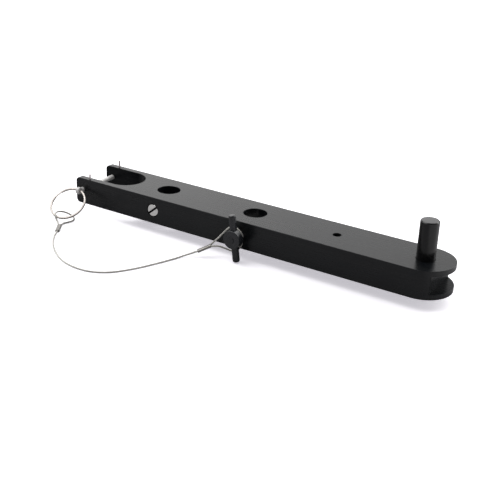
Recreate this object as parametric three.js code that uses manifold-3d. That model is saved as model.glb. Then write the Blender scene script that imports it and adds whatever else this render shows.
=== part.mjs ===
// Spreader beam: a solid rectangular bar with a forked end, a slotted round
// end, three cross holes, an upright clevis pin, a T-handle quick-release pin,
// a plain pin with a split ring, and a wire-rope lanyard between the two pins.
// Millimetres. +X runs from the fork to the slotted round end, +Z is up, and
// -Y is the side the two loose pins are pushed in from. The origin is on the
// bar's underside, on its centre line, midway between the two large bores.
import * as THREE from "three";
import { mergeVertices } from "three/addons/utils/BufferGeometryUtils.js";
import Module from "manifold-3d";

// ---- dimensions shared by the bar and the parts fitted to it -----------
const OVERSHOOT = 1; // how far a cutter passes the face it opens
const CROSS_FIT = 0.08; // radial clearance of everything fitted from -Y
// bar
const BAR_LENGTH = 374.65;
const BAR_WIDTH = 50.8;
const BAR_HEIGHT = 25.4;
const HALF_WIDTH = BAR_WIDTH / 2;
const FORK_END_X = -139.7;
const ROUND_CENTRE_X = FORK_END_X + BAR_LENGTH - HALF_WIDTH;
// large bores, down through the bar
const BORE_SPACING = 95.25;
const BORE_A_X = -BORE_SPACING / 2;
const BORE_B_X = BORE_SPACING / 2;
// upright clevis pin
const CLEVIS_R = 7.94;
// set screw, pointing at bore A
const SCREW_R = 6.2;
const SCREW_Z = BAR_HEIGHT / 2;
// T-handle pin, across bore B
const T_AXIS_Z = 12.1;
const T_SHANK_R = 3.97;
// plain pin, across the fork
const RING_PIN_X = -132.0;
const RING_PIN_Z = 14.2;
const RING_PIN_R = 2.38;
// keeper pins, in the top of the fork's cheeks
const KEEPER_X = -124.9;
const KEEPER_Y = 22.2;
const KEEPER_R = 0.8;
const KEEPER_HOLE_DEPTH = 6;

// ---- solids and surfaces -----------------------------------------------
const wasm = await Module();
wasm.setup();

// A closed three.js geometry as a solid: only positions, merged, with the
// zero-area triangles at poles dropped and the faces turned outwards.
function solid(geometry) {
  const loose = geometry.index ? geometry.toNonIndexed() : geometry.clone();
  loose.deleteAttribute("normal");
  loose.deleteAttribute("uv");
  const merged = mergeVertices(loose, 1e-5);
  const { position } = merged.attributes;
  const corners = merged.index.array;
  const vertex = (k) => new THREE.Vector3().fromBufferAttribute(position, k);
  const kept = [];
  let sixVolumes = 0;
  for (let i = 0; i < corners.length; i += 3) {
    const [a, b, c] = corners.slice(i, i + 3);
    if (a === b || b === c || a === c) continue;
    kept.push(a, b, c);
    sixVolumes += vertex(a).dot(vertex(b).cross(vertex(c)));
  }
  if (sixVolumes < 0) {
    for (let i = 0; i < kept.length; i += 3) {
      [kept[i + 1], kept[i + 2]] = [kept[i + 2], kept[i + 1]];
    }
  }
  return new wasm.Manifold(
    new wasm.Mesh({
      numProp: 3,
      vertProperties: new Float32Array(position.array),
      triVerts: new Uint32Array(kept),
    }),
  );
}

// The body with each cutter geometry taken away in turn.
function cut(body, ...cutters) {
  return cutters.reduce((left, cutter) => left.subtract(solid(cutter)), body);
}

function surface(manifold) {
  const mesh = manifold.getMesh();
  const geometry = new THREE.BufferGeometry();
  const positions = new Float32Array(mesh.vertProperties);
  geometry.setAttribute("position", new THREE.BufferAttribute(positions, 3));
  geometry.setIndex(new THREE.BufferAttribute(new Uint32Array(mesh.triVerts), 1));
  geometry.computeVertexNormals();
  return geometry;
}

// ---- shape helpers -----------------------------------------------------
// Turned about Y: the profile is [radius, y] pairs from one end to the other.
function turned(profile, segments) {
  const points = profile.map(([radius, y]) => new THREE.Vector2(radius, y));
  return new THREE.LatheGeometry(points, segments);
}
// Stands a piece turned about Y upright, so its profile heights become z.
const alongZ = (geometry) => geometry.rotateX(Math.PI / 2);

function rod(radius, start, end, segments) {
  return turned([[0, start], [radius, start], [radius, end], [0, end]], segments);
}

// A round wire along an open smooth curve.
function wire(points, radius, steps, sides) {
  const curve = new THREE.CatmullRomCurve3(
    points.map((point) => new THREE.Vector3(...point)),
    false,
    "centripetal",
  );
  const section = [];
  for (let i = 0; i < sides; i++) {
    const angle = (2 * Math.PI * i) / sides;
    section.push(new THREE.Vector2(radius * Math.cos(angle), radius * Math.sin(angle)));
  }
  section.push(section[0].clone());
  return new THREE.ExtrudeGeometry(new THREE.Shape(section), {
    steps,
    bevelEnabled: false,
    extrudePath: curve,
  });
}

// ---- finishes and assembly ---------------------------------------------
const FINISH = {
  anodised: { color: 0x2b2d2f, roughness: 0.42, metalness: 0.6 },
  blackened: { color: 0x1b1c1e, roughness: 0.3, metalness: 0.7 },
  stainless: { color: 0xc9c8c4, roughness: 0.25, metalness: 1.0 },
  handle: { color: 0x3f4246, roughness: 0.55, metalness: 0.3 },
  button: { color: 0x2a2c2f, roughness: 0.5, metalness: 0.4 },
  rope: { color: 0xb9b6ae, roughness: 0.5, metalness: 0.7 },
  crimp: { color: 0x6f6e6c, roughness: 0.5, metalness: 0.8 },
};

const group = new THREE.Group();
group.name = "spreader_beam";

// Adds a geometry or a solid as a named mesh with its own material.
function add(name, shape, finish, parent = group) {
  const geometry = surface(shape.isBufferGeometry ? solid(shape) : shape);
  const mesh = new THREE.Mesh(geometry, new THREE.MeshStandardMaterial(finish));
  mesh.name = name;
  parent.add(mesh);
  return mesh;
}

// ---- bar ---------------------------------------------------------------
const EDGE_BREAK = 0.4;
const FORK_CORNER_R = 4.0;
const FORK_GAP = 38.1;
const FORK_ROOT_X = -99.2; // centre of the gap's half-round root
const BORE_R = 10.75;
const SMALL_HOLE_R = 3.8;
const SMALL_HOLE_X = 129.2;
const CLEVIS_FIT = 0.06;
const KEEPER_FIT = 0.02;
const SLOT_PLATE = 4.8; // thickness left above and below the slot
const SLOT_FLOOR_X = ROUND_CENTRE_X + 14.0;
const SCREW_HOLE_END_Y = -8; // inside bore A

// Outline in plan: square at startX, a half round centred on roundX.
function roundEnded(startX, roundX, halfWidth) {
  const shape = new THREE.Shape();
  shape.moveTo(startX, -halfWidth);
  shape.lineTo(roundX, -halfWidth);
  shape.absarc(roundX, 0, halfWidth, -Math.PI / 2, Math.PI / 2, false);
  shape.lineTo(startX, halfWidth);
  shape.closePath();
  return shape;
}

// The blank, with an edge break round its top and bottom rims.
function barBlank() {
  const outline = roundEnded(
    FORK_END_X + EDGE_BREAK,
    ROUND_CENTRE_X,
    HALF_WIDTH - EDGE_BREAK,
  );
  return new THREE.ExtrudeGeometry(outline, {
    depth: BAR_HEIGHT - 2 * EDGE_BREAK,
    bevelEnabled: true,
    bevelThickness: EDGE_BREAK,
    bevelSize: EDGE_BREAK,
    bevelSegments: 1,
    curveSegments: 32,
  }).translate(0, 0, EDGE_BREAK);
}

// A block whose side outline rounds the fork's upper and lower corners.
function cornerBlock() {
  const cornerX = FORK_END_X + FORK_CORNER_R;
  const farX = ROUND_CENTRE_X + BAR_WIDTH;
  const upperZ = BAR_HEIGHT - FORK_CORNER_R;
  const side = new THREE.Shape();
  side.moveTo(cornerX, -OVERSHOOT);
  side.lineTo(farX, -OVERSHOOT);
  side.lineTo(farX, BAR_HEIGHT + OVERSHOOT);
  side.lineTo(cornerX, BAR_HEIGHT + OVERSHOOT);
  side.lineTo(cornerX, BAR_HEIGHT);
  side.absarc(cornerX, upperZ, FORK_CORNER_R, Math.PI / 2, Math.PI, false);
  side.lineTo(FORK_END_X, FORK_CORNER_R);
  side.absarc(cornerX, FORK_CORNER_R, FORK_CORNER_R, Math.PI, 1.5 * Math.PI, false);
  side.closePath();
  return new THREE.ExtrudeGeometry(side, {
    depth: BAR_WIDTH + 2 * OVERSHOOT,
    bevelEnabled: false,
    curveSegments: 5,
  })
    .rotateX(Math.PI / 2)
    .translate(0, HALF_WIDTH + OVERSHOOT, 0);
}

// Open at the fork end.
function forkGapCutter() {
  const outline = roundEnded(FORK_END_X - 2 * OVERSHOOT, FORK_ROOT_X, FORK_GAP / 2);
  return new THREE.ExtrudeGeometry(outline, {
    depth: BAR_HEIGHT + 4 * OVERSHOOT,
    bevelEnabled: false,
    curveSegments: 24,
  }).translate(0, 0, -2 * OVERSHOOT);
}

// A hole down through the bar, flared at 45 degrees to break both its edges.
function boreCutter(radius, x, segments) {
  const flareR = radius + EDGE_BREAK + OVERSHOOT;
  const profile = [
    [0, -OVERSHOOT],
    [flareR, -OVERSHOOT],
    [radius, EDGE_BREAK],
    [radius, BAR_HEIGHT - EDGE_BREAK],
    [flareR, BAR_HEIGHT + OVERSHOOT],
    [0, BAR_HEIGHT + OVERSHOOT],
  ];
  return alongZ(turned(profile, segments)).translate(x, 0, 0);
}

// The slot runs the full width and opens at the round end.
function slotCutter() {
  return new THREE.BoxGeometry(
    BAR_WIDTH,
    BAR_WIDTH + 4 * OVERSHOOT,
    BAR_HEIGHT - 2 * SLOT_PLATE,
  ).translate(SLOT_FLOOR_X + BAR_WIDTH / 2, 0, BAR_HEIGHT / 2);
}

// A hole along Y from outside the -Y face to endY.
function crossCutter(radius, endY, x, z, segments) {
  return rod(radius, -HALF_WIDTH - OVERSHOOT, endY, segments).translate(x, 0, z);
}

function keeperCutter(y) {
  const bottom = BAR_HEIGHT - KEEPER_HOLE_DEPTH;
  return alongZ(
    rod(KEEPER_R + KEEPER_FIT, bottom, BAR_HEIGHT + OVERSHOOT, 12),
  ).translate(KEEPER_X, y, 0);
}

function beamBar() {
  const throughY = HALF_WIDTH + OVERSHOOT;
  return cut(
    solid(barBlank()).intersect(solid(cornerBlock())),
    forkGapCutter(),
    boreCutter(BORE_R, BORE_A_X, 48),
    boreCutter(BORE_R, BORE_B_X, 48),
    boreCutter(SMALL_HOLE_R, SMALL_HOLE_X, 28),
    boreCutter(CLEVIS_R + CLEVIS_FIT, ROUND_CENTRE_X, 48),
    slotCutter(),
    crossCutter(SCREW_R + CROSS_FIT, SCREW_HOLE_END_Y, BORE_A_X, SCREW_Z, 36),
    crossCutter(T_SHANK_R + CROSS_FIT, throughY, BORE_B_X, T_AXIS_Z, 40),
    crossCutter(RING_PIN_R + CROSS_FIT, throughY, RING_PIN_X, RING_PIN_Z, 24),
    keeperCutter(-KEEPER_Y),
    keeperCutter(KEEPER_Y),
  );
}
add("beam_bar", beamBar(), FINISH.anodised);

// ---- keeper pins -------------------------------------------------------
const KEEPER_FRONT_STANDOUT = 4.8;
const KEEPER_REAR_STANDOUT = 6.8;
const KEEPER_FOOT_GAP = 0.1;
const KEEPER_TAPER = 0.3;

function keeperPin(y, standout) {
  const foot = BAR_HEIGHT - KEEPER_HOLE_DEPTH + KEEPER_FOOT_GAP;
  const top = BAR_HEIGHT + standout;
  const profile = [
    [0, foot],
    [KEEPER_R, foot],
    [KEEPER_R, top - KEEPER_TAPER],
    [KEEPER_R / 2, top],
    [0, top],
  ];
  return alongZ(turned(profile, 12)).translate(KEEPER_X, y, 0);
}
add("keeper_pin_front", keeperPin(-KEEPER_Y, KEEPER_FRONT_STANDOUT), FINISH.stainless);
add("keeper_pin_rear", keeperPin(KEEPER_Y, KEEPER_REAR_STANDOUT), FINISH.stainless);

// ---- clevis pin --------------------------------------------------------
const CLEVIS_STANDOUT = 33.5;
const CLEVIS_FOOT_Z = 0.2;
const CLEVIS_FOOT_CHAMFER = 0.5;
const CLEVIS_TOP_CHAMFER = 0.9;

function clevisPin() {
  const top = BAR_HEIGHT + CLEVIS_STANDOUT;
  const profile = [
    [0, CLEVIS_FOOT_Z],
    [CLEVIS_R - CLEVIS_FOOT_CHAMFER, CLEVIS_FOOT_Z],
    [CLEVIS_R, CLEVIS_FOOT_Z + CLEVIS_FOOT_CHAMFER],
    [CLEVIS_R, top - CLEVIS_TOP_CHAMFER],
    [CLEVIS_R - CLEVIS_TOP_CHAMFER, top],
    [0, top],
  ];
  return alongZ(turned(profile, 48)).translate(ROUND_CENTRE_X, 0, 0);
}
add("clevis_pin", clevisPin(), FINISH.blackened);

// ---- slotted set screw -------------------------------------------------
const SCREW_LENGTH = 11.5;
const SCREW_RECESS = 0.25; // head face below the bar's -Y face
const SCREW_HEAD_CHAMFER = 0.5;
const SCREW_POINT_CHAMFER = 1.2;
const SCREW_SLOT_WIDTH = 1.5;
const SCREW_SLOT_DEPTH = 1.9;
const SCREW_SLOT_SPAN = 0.93; // of the screw's diameter
const SCREW_SLOT_ANGLE = THREE.MathUtils.degToRad(40);

// Built about its own axis.
function setScrew() {
  const headY = -HALF_WIDTH + SCREW_RECESS;
  const pointY = headY + SCREW_LENGTH;
  const profile = [
    [0, headY],
    [SCREW_R - SCREW_HEAD_CHAMFER, headY],
    [SCREW_R, headY + SCREW_HEAD_CHAMFER],
    [SCREW_R, pointY - SCREW_POINT_CHAMFER],
    [SCREW_R - SCREW_POINT_CHAMFER, pointY],
    [0, pointY],
  ];
  const slot = new THREE.BoxGeometry(
    2 * SCREW_R * SCREW_SLOT_SPAN,
    2 * SCREW_SLOT_DEPTH,
    SCREW_SLOT_WIDTH,
  )
    .translate(0, headY, 0)
    .rotateY(-SCREW_SLOT_ANGLE);
  return cut(solid(turned(profile, 36)), slot);
}
add("set_screw", setScrew(), FINISH.stainless).position.set(BORE_A_X, 0, SCREW_Z);

// ---- T-handle pin ------------------------------------------------------
// Its parts are built about the pin's own axis and share one group.
const TIP_Y = 33.5;
const TIP_CHAMFER = 1.5;
const TIP_SOLID = 4; // length of shank beyond the spindle's bore
const HUB_BACK_Y = -30.1; // also where the shank starts
const HUB_FACE_Y = -39.05;
const HUB_R = 8.35;
const HUB_CHAMFER = 0.8;
const HUB_NECK_R = HUB_R - 1.7;
const CROSSBAR_Y = -33.9;
const CROSSBAR_HALF = 21.5;
const CROSSBAR_MID_HALF = 3.5;
const CROSSBAR_R = 3.2;
const CROSSBAR_DOME = 0.85 * CROSSBAR_R; // height of each rounded end
const CROSSBAR_FIT = 0.1;
const CROSSBAR_TILT = THREE.MathUtils.degToRad(8.3);
const BUTTON_R = 2.6;
const BUTTON_FIT = 0.12;
const BUTTON_POCKET = 1.5;
const BUTTON_PROUD = 0.5;
const BUTTON_CHAMFER = 0.4;
const BUTTON_THICK = 1.0;
const BUTTON_TRAVEL = 0.9;
const SPINDLE_R = 1.2;
const SPINDLE_SHANK_FIT = 0.15;
const SPINDLE_HANDLE_FIT = 0.2;
const SPINDLE_END_GAP = 0.5; // left at the bore's end after full travel
const COLLAR_Y = HUB_BACK_Y + 1.2;
const COLLAR_THICK = 1.2;
const COLLAR_R = 2.4;
const CHAMBER_R = 2.6; // spring chamber in the shank
const CHAMBER_END_Y = HUB_BACK_Y + 11;
const SPRING_R = 1.95;
const SPRING_WIRE_R = 0.3;
const SPRING_TURNS = 4.5;
const SPRING_TURN_STEPS = 12;
const SPRING_END_GAP = 0.5;

// Hollow from the handle end for the button's spindle and spring.
function tShank() {
  const boreR = SPINDLE_R + SPINDLE_SHANK_FIT;
  const profile = [
    [T_SHANK_R, HUB_BACK_Y],
    [T_SHANK_R, TIP_Y - TIP_CHAMFER],
    [T_SHANK_R - TIP_CHAMFER, TIP_Y],
    [0, TIP_Y],
    [0, TIP_Y - TIP_SOLID],
    [boreR, TIP_Y - TIP_SOLID],
    [boreR, CHAMBER_END_Y],
    [CHAMBER_R, CHAMBER_END_Y],
    [CHAMBER_R, HUB_BACK_Y],
    [T_SHANK_R, HUB_BACK_Y],
  ];
  return turned(profile, 40);
}

// Tilts an upright piece about the pin's axis, at the crossbar's place.
function placeCrossbar(geometry) {
  return alongZ(geometry).rotateY(-CROSSBAR_TILT).translate(0, CROSSBAR_Y, 0);
}

// Domed at both ends, with a clear hole for the spindle.
function tCrossbar() {
  const upperDome = [0, 30, 60].map((degrees) => {
    const angle = THREE.MathUtils.degToRad(degrees);
    const rise = CROSSBAR_DOME * Math.sin(angle);
    return [CROSSBAR_R * Math.cos(angle), CROSSBAR_HALF - CROSSBAR_DOME + rise];
  });
  const upper = [[CROSSBAR_R, CROSSBAR_MID_HALF], ...upperDome, [0, CROSSBAR_HALF]];
  const lower = upper.map(([radius, height]) => [radius, -height]).reverse();
  const spindleHole = rod(
    SPINDLE_R + SPINDLE_HANDLE_FIT,
    CROSSBAR_Y - 2 * CROSSBAR_R,
    CROSSBAR_Y + 2 * CROSSBAR_R,
    24,
  );
  return cut(solid(placeCrossbar(turned([...lower, ...upper], 24))), spindleHole);
}

// Round boss the crossbar passes through, with the button's pocket.
function tHub() {
  const endY = HUB_BACK_Y - 0.3;
  const boss = [
    [0, HUB_FACE_Y],
    [HUB_R - HUB_CHAMFER, HUB_FACE_Y],
    [HUB_R, HUB_FACE_Y + HUB_CHAMFER],
    [HUB_R, HUB_BACK_Y - 2.5],
    [HUB_NECK_R, HUB_BACK_Y - 0.9],
    [HUB_NECK_R, endY],
    [0, endY],
  ];
  const pocketR = BUTTON_R + BUTTON_FIT;
  const spindleHoleR = SPINDLE_R + SPINDLE_HANDLE_FIT;
  const pocket = [
    [0, HUB_FACE_Y - OVERSHOOT],
    [pocketR, HUB_FACE_Y - OVERSHOOT],
    [pocketR, HUB_FACE_Y + BUTTON_POCKET],
    [spindleHoleR, HUB_FACE_Y + BUTTON_POCKET],
    [spindleHoleR, HUB_BACK_Y + OVERSHOOT],
    [0, HUB_BACK_Y + OVERSHOOT],
  ];
  const reach = HUB_R + OVERSHOOT;
  const passage = placeCrossbar(rod(CROSSBAR_R + CROSSBAR_FIT, -reach, reach, 24));
  return cut(solid(turned(boss, 40)), turned(pocket, 32), passage);
}

// Button and spindle in one piece; the spring pushes on the spindle's collar.
function tButton() {
  const faceY = HUB_FACE_Y - BUTTON_PROUD;
  const endY = TIP_Y - TIP_SOLID - BUTTON_TRAVEL - SPINDLE_END_GAP;
  const profile = [
    [0, faceY],
    [BUTTON_R - BUTTON_CHAMFER, faceY],
    [BUTTON_R, faceY + BUTTON_CHAMFER],
    [BUTTON_R, faceY + BUTTON_THICK],
    [SPINDLE_R, faceY + BUTTON_THICK],
    [SPINDLE_R, COLLAR_Y],
    [COLLAR_R, COLLAR_Y],
    [COLLAR_R, COLLAR_Y + COLLAR_THICK],
    [SPINDLE_R, COLLAR_Y + COLLAR_THICK],
    [SPINDLE_R, endY],
    [0, endY],
  ];
  return turned(profile, 32);
}

// Return spring, between the collar and the step in the shank's bore.
function tSpring() {
  const startY = COLLAR_Y + COLLAR_THICK + SPRING_END_GAP;
  const endY = CHAMBER_END_Y - SPRING_END_GAP;
  const steps = SPRING_TURN_STEPS * SPRING_TURNS;
  const coil = [];
  for (let i = 0; i <= steps; i++) {
    const angle = (2 * Math.PI * i) / SPRING_TURN_STEPS;
    const y = startY + ((endY - startY) * i) / steps;
    coil.push([SPRING_R * Math.cos(angle), y, SPRING_R * Math.sin(angle)]);
  }
  return wire(coil, SPRING_WIRE_R, steps, 5);
}

const tPin = new THREE.Group();
tPin.position.set(BORE_B_X, 0, T_AXIS_Z);
group.add(tPin);
add("t_pin_shank", tShank(), FINISH.stainless, tPin);
add("t_pin_crossbar", tCrossbar(), FINISH.handle, tPin);
add("t_pin_hub", tHub(), FINISH.handle, tPin);
add("t_pin_button", tButton(), FINISH.button, tPin);
add("t_pin_spring", tSpring(), FINISH.stainless, tPin);

// ---- plain pin and split ring ------------------------------------------
const RING_PIN_FAR_Y = 29.0;
const RING_PIN_CHAMFER = 1.2;
// flattened eye at the -Y end
const EYE_Y = -30.8;
const EYE_R = 3.3;
const EYE_THICK = 3.2;
const EYE_SHOULDER = 1.6; // from the eye's centre to where it narrows
const EYE_TAIL = 3.2; // from the eye's centre to where it ends in the pin
const EYE_TAIL_HALF = 0.8 * RING_PIN_R;
const EYE_HOLE_R = 1.4;
const EYE_HOLE = new THREE.Vector3(RING_PIN_X, -30.0, RING_PIN_Z);
const DRILL_HALF = 6;
const RING_R = 17.0;
const RING_WIRE_R = 1.0;
// The ring's plane holds the direction of the pin's cross hole.
const HOLE_DIR = new THREE.Vector3(0.98716, -0.08569, -0.13477).normalize();
const RING_NORMAL = new THREE.Vector3(0.0607, -0.57907, 0.81302);
RING_NORMAL.addScaledVector(HOLE_DIR, -RING_NORMAL.dot(HOLE_DIR)).normalize();
const RING_OUT = new THREE.Vector3().crossVectors(HOLE_DIR, RING_NORMAL);

// A flat tongue with a round end, its thickness along X.
function eyeTongue() {
  const outline = new THREE.Shape();
  outline.absarc(0, 0, EYE_R, -Math.PI / 2, Math.PI / 2, false);
  outline.lineTo(-EYE_SHOULDER, EYE_R);
  outline.lineTo(-EYE_TAIL, EYE_TAIL_HALF);
  outline.lineTo(-EYE_TAIL, -EYE_TAIL_HALF);
  outline.lineTo(-EYE_SHOULDER, -EYE_R);
  outline.closePath();
  // outline x runs towards -Y, outline y runs up, the depth runs towards -X
  const frame = new THREE.Matrix4().makeBasis(
    new THREE.Vector3(0, -1, 0),
    new THREE.Vector3(0, 0, 1),
    new THREE.Vector3(-1, 0, 0),
  );
  return new THREE.ExtrudeGeometry(outline, {
    depth: EYE_THICK,
    bevelEnabled: false,
    curveSegments: 12,
  })
    .applyMatrix4(frame)
    .translate(RING_PIN_X + EYE_THICK / 2, EYE_Y, RING_PIN_Z);
}

function ringPin() {
  const profile = [
    [0, EYE_Y + EYE_SHOULDER],
    [EYE_THICK / 2, EYE_Y + EYE_SHOULDER],
    [RING_PIN_R, EYE_Y + EYE_TAIL],
    [RING_PIN_R, RING_PIN_FAR_Y - RING_PIN_CHAMFER],
    [RING_PIN_R - RING_PIN_CHAMFER, RING_PIN_FAR_Y],
    [0, RING_PIN_FAR_Y],
  ];
  const shank = turned(profile, 24).translate(RING_PIN_X, 0, RING_PIN_Z);
  const turn = new THREE.Quaternion().setFromUnitVectors(
    new THREE.Vector3(0, 1, 0),
    HOLE_DIR,
  );
  const drill = rod(EYE_HOLE_R, -DRILL_HALF, DRILL_HALF, 16)
    .applyQuaternion(turn)
    .translate(...EYE_HOLE);
  return cut(solid(shank).add(solid(eyeTongue())), drill);
}
add("ring_pin", ringPin(), FINISH.stainless);

// The ring's wire passes through the centre of the eye's hole.
function splitRing() {
  const centre = EYE_HOLE.clone().addScaledVector(RING_OUT, RING_R);
  const frame = new THREE.Matrix4().makeBasis(HOLE_DIR, RING_OUT, RING_NORMAL);
  frame.setPosition(centre);
  return new THREE.TorusGeometry(RING_R, RING_WIRE_R, 8, 56).applyMatrix4(frame);
}
add("split_ring", splitRing(), FINISH.stainless);

// ---- lanyard -----------------------------------------------------------
const ROPE_R = 0.8;
const ROPE_SIDES = 6;
// Rope centre lines: [x, y, z] stations.
// eye round the split ring's wire
const RING_EYE_PATH = [
  [-126.74, -65.8, -8.6], [-131.56, -62.09, -7.9], [-134.41, -60.41, -6.4],
  [-135.67, -59.99, -4.2], [-137.89, -57.79, -3], [-140.57, -53.37, -3],
  [-141.39, -47.57, -4.2], [-139.72, -42.52, -6.2], [-136.53, -40.23, -7.9],
  [-132.44, -40.46, -9], [-127.39, -43.85, -9.15], [-124.66, -48.46, -9.15],
  [-124.89, -52.13, -9.15], [-126.02, -56.15, -9.15], [-126.61, -59.9, -9],
  [-125.16, -64.75, -8.6],
];
// eye round the T-handle pin's neck
const PIN_EYE_PATH = [
  [25.31, -35.88, 0.87], [27.61, -35.8, 4.28], [29.78, -34.9, 6.93],
  [32.5, -33.6, 10.15], [34.35, -32.4, 12.7], [36.05, -31.3, 15.05],
  [37.63, -30.3, 17.01], [39.26, -29.4, 18.83], [41.78, -29.2, 20.35],
  [44.47, -29.2, 20.65], [47.19, -29.2, 19.74], [49.52, -29.2, 18.27],
  [51.47, -29.2, 15.94], [52.56, -29.2, 12.36], [52.64, -29.2, 8.12],
  [51.76, -29.2, 4.56], [49.42, -29.2, 1.07], [46.03, -29.3, -1.34],
  [42.45, -29.7, -2.16], [39.67, -30.8, -1.36], [37, -32.4, -0.17],
  [33.8, -34, 0.88], [30.43, -35.6, 1.12], [26.56, -37.31, 0.87],
];
// run between the two ferrules, below the bar's underside
const CABLE_PATH = [
  [-117.46, -77.98, -8.6], [-114.76, -83.61, -9], [-110.7, -89.72, -9.15],
  [-105.57, -96.17, -9.15], [-100.35, -101.8, -9.15], [-93.32, -108.1, -9.15],
  [-86.46, -113.24, -9.15], [-78.47, -118.39, -9.15], [-71.06, -121.95, -9.15],
  [-63.24, -124.56, -9.15], [-55.12, -126.06, -9.15], [-47.36, -126.25, -9.15],
  [-39.4, -125.24, -9.15], [-32.77, -122.73, -9.15], [-27.05, -119.18, -9.15],
  [-22.09, -114.72, -9.15], [-17.87, -109.32, -9.15], [-14.12, -103.26, -9.15],
  [-10.59, -96.85, -9.15], [-7.28, -90.06, -9.15], [-4.32, -82.72, -9.15],
  [-1.32, -75.3, -9.15], [1.58, -67.63, -9.15], [4.47, -59.8, -9],
  [7.71, -52.34, -8.3], [11.32, -47.58, -7], [16.46, -44.9, -4.56],
];
// ferrule end centres, and the direction its two barrels lie side by side in
const RING_FERRULE = {
  start: [-125.67, -65.69, -8.6],
  end: [-117.74, -77.56, -8.6],
  across: [0.832, 0.556, 0],
};
const PIN_FERRULE = {
  start: [25.59, -36.9, 0.67],
  end: [16.81, -44.6, -4.36],
  across: [-0.659, 0.752, 0],
};
const FERRULE_R = 1.35;
const FERRULE_HALF = 0.8; // each barrel's offset from the middle
const FERRULE_BEVEL = 0.3;
const FERRULE_WAIST = 0.35; // radians each barrel's arc is cut short at the waist

// Crimped ferrule: two barrels side by side, pressed into one piece.
function ferrule({ start, end, across }) {
  const origin = new THREE.Vector3(...start);
  const along = new THREE.Vector3(...end).sub(origin);
  const length = along.length();
  along.normalize();
  const wide = new THREE.Vector3(...across);
  wide.addScaledVector(along, -wide.dot(along)).normalize();
  const thick = new THREE.Vector3().crossVectors(along, wide);
  const from = Math.PI / 2 + FERRULE_WAIST;
  const to = Math.PI / 2 - FERRULE_WAIST;
  const section = new THREE.Shape();
  section.absarc(FERRULE_HALF, 0, FERRULE_R, -to, to, false);
  section.absarc(-FERRULE_HALF, 0, FERRULE_R, from, Math.PI + to, false);
  section.closePath();
  const frame = new THREE.Matrix4().makeBasis(wide, thick, along).setPosition(origin);
  return new THREE.ExtrudeGeometry(section, {
    depth: length - 2 * FERRULE_BEVEL,
    bevelEnabled: true,
    bevelThickness: FERRULE_BEVEL,
    bevelSize: FERRULE_BEVEL,
    bevelOffset: -FERRULE_BEVEL,
    bevelSegments: 1,
    curveSegments: 5,
  })
    .translate(0, 0, FERRULE_BEVEL)
    .applyMatrix4(frame);
}

add("lanyard_ring_eye", wire(RING_EYE_PATH, ROPE_R, 60, ROPE_SIDES), FINISH.rope);
add("lanyard_pin_eye", wire(PIN_EYE_PATH, ROPE_R, 72, ROPE_SIDES), FINISH.rope);
add("ferrule_ring_end", ferrule(RING_FERRULE), FINISH.crimp);
add("ferrule_pin_end", ferrule(PIN_FERRULE), FINISH.crimp);
add("lanyard_cable", wire(CABLE_PATH, ROPE_R, 90, ROPE_SIDES), FINISH.rope);

export default group;
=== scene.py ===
# A drilled bar with its pins and a wire lanyard. The bar lies along X with its
# underside at z = 0 and y = 0 down its middle. Its -X end is a fork; its +X end is
# round, slotted across and carries an upright pin. A set screw, a ring pin and a
# T-handle pin enter from the front, -Y. The lanyard joins the last two and hangs down
# to just above the floor in front. Pieces are in millimetres, the stage in metres.
import math

import bmesh
import bpy
import numpy as np
from mathutils import Matrix, Vector


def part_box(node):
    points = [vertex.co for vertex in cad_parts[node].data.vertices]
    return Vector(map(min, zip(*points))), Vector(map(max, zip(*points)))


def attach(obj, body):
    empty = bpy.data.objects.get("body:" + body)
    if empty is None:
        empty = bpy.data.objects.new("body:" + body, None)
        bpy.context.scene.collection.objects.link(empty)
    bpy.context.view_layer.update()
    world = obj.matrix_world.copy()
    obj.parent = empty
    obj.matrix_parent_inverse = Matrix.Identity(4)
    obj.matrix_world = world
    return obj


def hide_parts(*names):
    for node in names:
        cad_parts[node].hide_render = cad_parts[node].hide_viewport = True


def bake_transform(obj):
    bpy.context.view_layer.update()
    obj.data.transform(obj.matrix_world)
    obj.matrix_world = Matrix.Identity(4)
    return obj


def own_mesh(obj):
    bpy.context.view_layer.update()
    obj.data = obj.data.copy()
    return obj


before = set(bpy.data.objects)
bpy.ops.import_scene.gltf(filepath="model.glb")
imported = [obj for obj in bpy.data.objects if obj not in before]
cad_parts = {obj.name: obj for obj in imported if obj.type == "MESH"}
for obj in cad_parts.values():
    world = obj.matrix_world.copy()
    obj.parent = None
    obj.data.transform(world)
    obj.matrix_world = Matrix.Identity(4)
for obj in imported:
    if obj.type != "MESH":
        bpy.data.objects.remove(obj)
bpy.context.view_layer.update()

MM = 0.001
UP = (0, 0, 1)
REARWARD = (0, 1, 0)
scene = bpy.context.scene

# ---------------------------------------------------------------------------
# Driving dimensions
# ---------------------------------------------------------------------------
BEAM_LOW, BEAM_HIGH = (np.array(corner) * 1000 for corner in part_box("beam_bar"))
FORK_END, ROUND_END = BEAM_LOW[0], BEAM_HIGH[0]
HALF_W = (BEAM_HIGH[1] - BEAM_LOW[1]) / 2
HEIGHT = BEAM_HIGH[2] - BEAM_LOW[2]
ROUND_X = ROUND_END - HALF_W  # centre of the round end and of the upright pin
FORK_GAP, FORK_ROOT_X = 38.1, -99.2
PLATE, SLOT_FLOOR_X = 4.8, ROUND_X + 14.0  # plates above and below the end slot
BORE_PITCH = 95.25
SCREW_X, T_X = -BORE_PITCH / 2, BORE_PITCH / 2  # set screw and T-handle pin
T_Z = 12.1
RING_PIN_X, RING_PIN_Z = -132.0, 14.2
KEEPER_X, KEEPER_Y = -124.9, 22.2
UPRIGHT_TOP = HEIGHT + 33.5
SCREW_FACE_Y = -HALF_W + 0.25

# ---------------------------------------------------------------------------
# Mesh tools
# ---------------------------------------------------------------------------


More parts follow.
